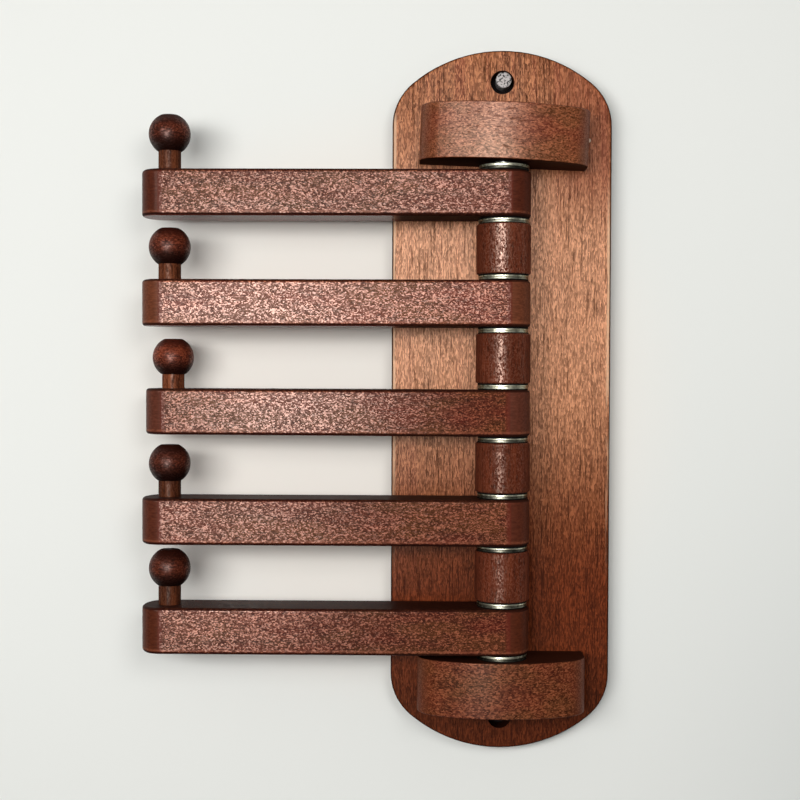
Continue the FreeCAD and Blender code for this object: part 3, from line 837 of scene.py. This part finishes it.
@dataclass
class SwingArm:
    """One arm with its peg and ball; its grain follows the arm."""

    number: int
    tone: float  # how light its stain is
    varnish_and_sheen: tuple[float, float]  # how much varnish is left at its tip and at the rod, and how strong its painted sheen is there
    end: Colour  # stain of its rounded ends
    turned: float = 1.0  # how light the stain of its peg and its ball is
    lean: float = 0.0  # how far it stands turned towards the plate
    reach: float = 165.5
    depth: float = 26.8
    thickness: float = 22.8
    shoulder: float = 9.5
    rod_out: float = 30.0
    dents: tuple[tuple[float, float], ...] = ()
    peg_seed: float = 30.0
    peg_fibre: Colour = paint(56, 25, 13)
    peg_light: Colour = paint(98, 52, 29)
    peg_pore: Colour = paint(30, 11, 5)
    ball_seed: float = 40.0
    ball_fibre: Colour = paint(44, 15, 8)
    ball_light: Colour = paint(116, 52, 30)
    ball_pore: Colour = paint(20, 5, 3)

    def lie(self) -> Lie:
        """The arm's own axes: along it from the rod, out of the wall, and up."""
        middle = middle_of(f"arm_{self.number}")
        return Lie((0.0, -self.rod_out * MILLIMETRE, middle.z), (0.0, 0.0, math.pi - self.lean))

    def stained(self, colour: Colour) -> Colour:
        """A colour of the peg and the ball, as light as their stain leaves it."""
        return tuple(part * self.turned for part in colour)

    def dress(self) -> None:
        """Gives the arm, its peg and its ball their finishes."""
        arm, peg, ball = (f"{kind}_{self.number}" for kind in ("arm", "peg", "ball"))
        dress(arm, ArmWood(
            f"{arm}_wood", self.lie(), self.reach, self.depth, self.thickness, self.shoulder,
            seed=float(self.number), tone=self.tone, varnish_and_sheen=self.varnish_and_sheen, end=self.end, dents=self.dents,
        ).material())
        dress(peg, TurnedWood(
            f"{peg}_wood", lie_of(peg, UPRIGHT), self.peg_seed + self.number,
            self.stained(self.peg_fibre), self.stained(self.peg_light), self.peg_pore, ring_width=1.4,
            varnish=Varnish(smooth=0.36, level=0.25, relief=0.015),
        ).material())
        dress(ball, TurnedWood(
            f"{ball}_wood", lie_of(ball), self.ball_seed + self.number,
            self.stained(self.ball_fibre), self.stained(self.ball_light), self.ball_pore,
            ring_width=3.2, ring_share=0.25, speckle_share=0.6, lit_waist=7.5, lower_half_shade=0.85, glitter=0.6,
            varnish=Varnish(smooth=0.36, level=0.5, relief=0.01, glow=(1.0, 0.7, 0.62)),
        ).material())


@dataclass
class Wall:
    """The pale wall that the rack hangs on; from behind it can be looked through."""

    width: float = 8.0
    behind: float = 0.0001  # how far behind the plate's back it stands
    colour: Colour = paint(235, 236, 231)
    # colour of painted light bounced off the wood
    bounce_colour: Colour = paint(246, 237, 226)
    # colour of painted shade where the lamps' light falls off
    dim: Colour = paint(222, 224, 220)
    bounce_share: float = 0.6  # how strongly the painted bounce light of the wood tints the paint round it
    rack_aside: float = 0.06  # how far left of the plate's middle that tint is strongest
    tint_fall: float = 6.5  # how fast it falls off, per metre

    def build(self) -> None:
        """Makes the wall."""
        shape = bmesh.new()
        bmesh.ops.create_grid(shape, x_segments=1, y_segments=1, size=self.width / 2)
        bmesh.ops.rotate(shape, verts=shape.verts, matrix=Matrix.Rotation(math.pi / 2, 3, "X"))
        bmesh.ops.translate(shape, verts=shape.verts, vec=(0.0, self.behind, 0.0))
        wall = new_piece("wall", shape, self.material())

    def material(self) -> bpy.types.Material:
        """Matt paint in front, clear from behind and right at the plate's back.

        Returns:
            The new material.
        """
        material, board = new_material("wall_paint")
        where = board.node("ShaderNodeTexCoord")
        aside, _, height = board.parts(where.outputs["Object"])
        aside = aside + self.rack_aside
        # painted light round the rack, bounced off the wood; painted shade at the lower right, where the
        # lamps' light falls off
        bounce_pool = ((aside * self.tint_fall) ** 2.0 + (height * self.tint_fall) ** 2.0).rise(1.2, 0.2)
        falloff_shade = aside.rise(0.08, 0.3) * height.rise(0.1, -0.22)
        colour = board.blend(bounce_pool * self.bounce_share, self.colour, self.bounce_colour)
        colour = board.blend(falloff_shade, colour, self.dim)
        matt = board.node("ShaderNodeBsdfDiffuse", None, {"Color": colour})
        clear = board.node("ShaderNodeBsdfTransparent")
        back = Value(board, board.node("ShaderNodeNewGeometry").outputs["Backfacing"])
        length = Value(board, board.node("ShaderNodeLightPath").outputs["Ray Length"])
        near = 1 - length.above(self.behind * 3)
        mixed = board.node("ShaderNodeMixShader", None, {
            0: back.most(near), 1: matt.outputs[0], 2: clear.outputs[0],
        })
        board.surface(mixed)
        return material


@dataclass
class HangingPin:
    """The pin of the wall that the rack hangs on, and dark collars in both hanging holes; the one in the
    foot hole is a dark disc of painted shade.
    """

    inset: float = 16.1  # of each hole's middle from the plate's end, in millimetres
    aside: float = 0.8  # of the pin from the middle of its hole
    raised: float = 1.75  # of the pin over the middle of its hole
    radius: float = 4.0
    length: float = 10.4
    collar_radius: float = 5.95
    collar_thickness: float = 1.6
    rounding: float = 0.5
    segments: int = 64
    metal: Colour = paint(192, 184, 180)
    stain: Colour = paint(14, 12, 14)
    rubber_and_shade: Colour = paint(20, 9, 7)

    def build(self) -> None:
        """Makes the pin and the collars."""
        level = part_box("back_plate")[1][2] / MILLIMETRE - self.inset
        pin = Steel("pin_steel", Lie((0.0, 0.0, 0.0)), self.metal, self.stain,
                    roughness=0.6, mottle=1.25, bare=0.0).material()
        self._turned("hanging_pin", self.radius, self.length, self.aside, level + self.raised, pin)
        rubber_and_shade, board = new_material("collar_rubber")
        coat = board.node("ShaderNodeBsdfPrincipled", None, {
            "Base Color": self.rubber_and_shade, "Roughness": 0.8, "Specular IOR Level": 0.1,
        })
        board.surface(coat)
        # the collar in the foot hole is painted shade, a dark disc where the wall would show
        for name, height in (("pin_collar", level), ("foot_hole_shade", -level)):
            self._turned(name, self.collar_radius, self.collar_thickness, 0.0, height, rubber_and_shade)

    def _turned(self, name: str, radius: float, length: float, aside: float, level: float,
                material: bpy.types.Material) -> None:
        """Makes one round piece that stands out of the wall.

        Args:
            name: its name.
            radius: its radius in millimetres.
            length: how far it stands out.
            aside: how far right of the rack's middle its axis is.
            level: height of its axis.
            material: its finish.
        """
        shape = bmesh.new()
        bmesh.ops.create_cone(shape, cap_ends=True, segments=self.segments, radius1=radius,
                              radius2=radius, depth=length)
        rim = [edge for edge in shape.edges if all(vert.co.z > 0 for vert in edge.verts)]
        bmesh.ops.bevel(shape, geom=rim, offset=self.rounding, offset_type="OFFSET", affect="EDGES",
                        segments=4, profile=0.5, material=-1)
        bmesh.ops.rotate(shape, verts=shape.verts, matrix=Matrix.Rotation(math.pi / 2, 3, "X"))
        bmesh.ops.translate(shape, verts=shape.verts, vec=(aside, -length / 2, level))
        bmesh.ops.scale(shape, verts=shape.verts, vec=(MILLIMETRE,) * 3)
        piece = new_piece(name, shape, material)


class Task(Enum):
    """What a lamp is for."""

    LIGHT = "light"  # it lights the wood and the wall evenly
    GLINT = "glint"  # only the varnish and the steel mirror it


@dataclass(frozen=True)
class Lamp:
    """A soft lamp before the rack, at a place in metres; it looks at the rack's middle."""

    name: str
    task: Task
    place: tuple[float, float, float]
    width: float
    height: float
    share: float  # part of the plain level that it gives at the rack

    def build(self) -> None:
        """Makes the lamp; its power gives its share on a surface that faces it."""
        light = bpy.data.lights.new(self.name, "AREA")
        light.shape = "RECTANGLE"
        light.size, light.size_y = self.width, self.height
        place = Vector(self.place)
        light.energy = math.pi ** 2 * self.share * place.length_squared
        lamp = bpy.data.objects.new(self.name, light)
        bpy.context.scene.collection.objects.link(lamp)
        lamp.location = place
        lamp.rotation_mode = "QUATERNION"
        lamp.rotation_quaternion = (-place).to_track_quat("-Z", "Y")
        lamp.visible_diffuse = self.task is Task.LIGHT
        lamp.visible_glossy = self.task is Task.GLINT


@dataclass
class Studio:
    """The room: wall, lamps, and the world round them."""

    lamps: tuple[Lamp, ...] = (
        Lamp("room_light", Task.LIGHT, (-0.42, -1.08, 0.12), 0.78, 0.30, 0.68),
        Lamp("far_light", Task.LIGHT, (0.24, -1.00, 0.28), 0.36, 0.30, 0.23),
        Lamp("window", Task.GLINT, (-0.31, -1.40, 0.06), 0.28, 0.28, 0.74),
        Lamp("high_window", Task.GLINT, (0.0, -1.40, 0.28), 0.26, 0.32, 0.28),
        Lamp("low_window", Task.GLINT, (-0.32, -1.40, -0.27), 0.32, 0.24, 0.24),
        Lamp("side_window", Task.GLINT, (-0.80, -1.20, 0.45), 0.24, 0.30, 0.20),
    )
    # the world's light before, above, below and behind the rack
    front: float = 0.22
    above: float = 0.32
    below: float = 0.12
    behind: float = 0.95
    mirrored: float = 0.2  # part of the world's front that the varnish mirrors
    seen: Colour = paint(238, 238, 236)  # what the camera sees of the world

    def build(self) -> None:
        """Makes the wall, the lamps and the world."""
        Wall().build()
        for lamp in self.lamps:
            lamp.build()
        self.light_world()

    def light_world(self) -> None:
        """Gives the world its plain light; what is seen of it is pale."""
        world = bpy.data.worlds.new("room")
        world.use_nodes = True
        bpy.context.scene.world = world
        board = Board(world.node_tree)
        way = board.node("ShaderNodeTexCoord")
        _, depth, height = board.parts(way.outputs["Generated"])
        room = (self.front + (self.above - self.front) * height.rise(0.1, 0.8)
                - (self.front - self.below) * height.rise(0.0, -0.6))
        behind = depth.rise(-0.05, 0.1)
        strength = room * (1 - behind) + behind * self.behind
        path = board.node("ShaderNodeLightPath")
        camera, glossy, through = (Value(board, path.outputs[name]) for name in
                                   ("Is Camera Ray", "Is Glossy Ray", "Is Transmission Ray"))
        # the varnish mirrors the pale ground beside and behind the rack, and a dim room before it
        seen = camera.most(through).most(glossy * depth.rise(-0.2, -0.02))
        strength = strength * (1 - glossy * (1 - self.mirrored))
        dim = board.node("ShaderNodeBackground", None, {"Color": (1.0, 1.0, 1.0), "Strength": strength})
        pale = board.node("ShaderNodeBackground", None, {"Color": self.seen, "Strength": 1.0})
        mixed = board.node("ShaderNodeMixShader", None, {0: seen, 1: dim.outputs[0], 2: pale.outputs[0]})
        board.node("ShaderNodeOutputWorld", None, {"Surface": mixed.outputs[0]})


@dataclass
class Camera:
    """The camera at the photograph's place, which a fit to the outlines gave."""

    place: tuple[float, float, float] = (-0.040518, -0.708513, 0.016442)
    yaw: float = -0.01536
    pitch: float = -0.02313
    roll: float = 0.00382
    focal_pixels: float = 1367.664
    frame_pixels: int = 800
    sensor: float = 36.0
    nearest: float = 0.01
    farthest: float = 50.0

    def build(self) -> None:
        """Makes the camera and gives it to the scene."""
        side = Vector((math.cos(self.yaw), -math.sin(self.yaw), 0.0))
        ahead = Vector((math.sin(self.yaw), math.cos(self.yaw), 0.0))
        up = Vector((0.0, 0.0, 1.0))
        aim = math.cos(self.pitch) * ahead + math.sin(self.pitch) * up
        head = math.cos(self.pitch) * up - math.sin(self.pitch) * ahead
        right = math.cos(self.roll) * side + math.sin(self.roll) * head
        top = math.cos(self.roll) * head - math.sin(self.roll) * side
        data = bpy.data.cameras.new("camera")
        data.sensor_width = self.sensor
        data.lens = self.focal_pixels / self.frame_pixels * self.sensor
        data.clip_start, data.clip_end = self.nearest, self.farthest
        camera = bpy.data.objects.new("camera", data)
        bpy.context.scene.collection.objects.link(camera)
        axes = Matrix((right, top, -aim)).transposed()
        camera.matrix_world = Matrix.Translation(self.place) @ axes.to_4x4()
        bpy.context.scene.camera = camera


def main() -> None:
    """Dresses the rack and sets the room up."""
    logging.basicConfig(level=logging.INFO, format="%(name)s: %(message)s")
    Camera().build()
    Studio().build()
    HangingPin().build()
    BackPlate().dress()
    BearingBlocks().dress()
    PivotStack().dress()
    arms = (
        SwingArm(1, tone=0.88, varnish_and_sheen=(1.0, 0.8), end=paint(74, 32, 19), turned=1.25),
        SwingArm(2, tone=1.17, varnish_and_sheen=(0.9, 1.0), end=paint(98, 52, 33), turned=1.6),
        SwingArm(3, tone=0.94, varnish_and_sheen=(1.35, 0.0), end=paint(86, 44, 31), turned=2.4,
                 lean=math.radians(2.9911), dents=((122.0, -12.4), (95.0, -12.2))),
        SwingArm(4, tone=0.92, varnish_and_sheen=(0.85, 0.3), end=paint(80, 37, 23), turned=1.0),
        SwingArm(5, tone=0.88, varnish_and_sheen=(1.1, 0.05), end=paint(77, 34, 18), turned=1.05),
    )
    for arm in arms:
        arm.dress()
    settings = bpy.context.scene.view_settings
    settings.view_transform = "Standard"


if __name__ == "__main__":
    main()
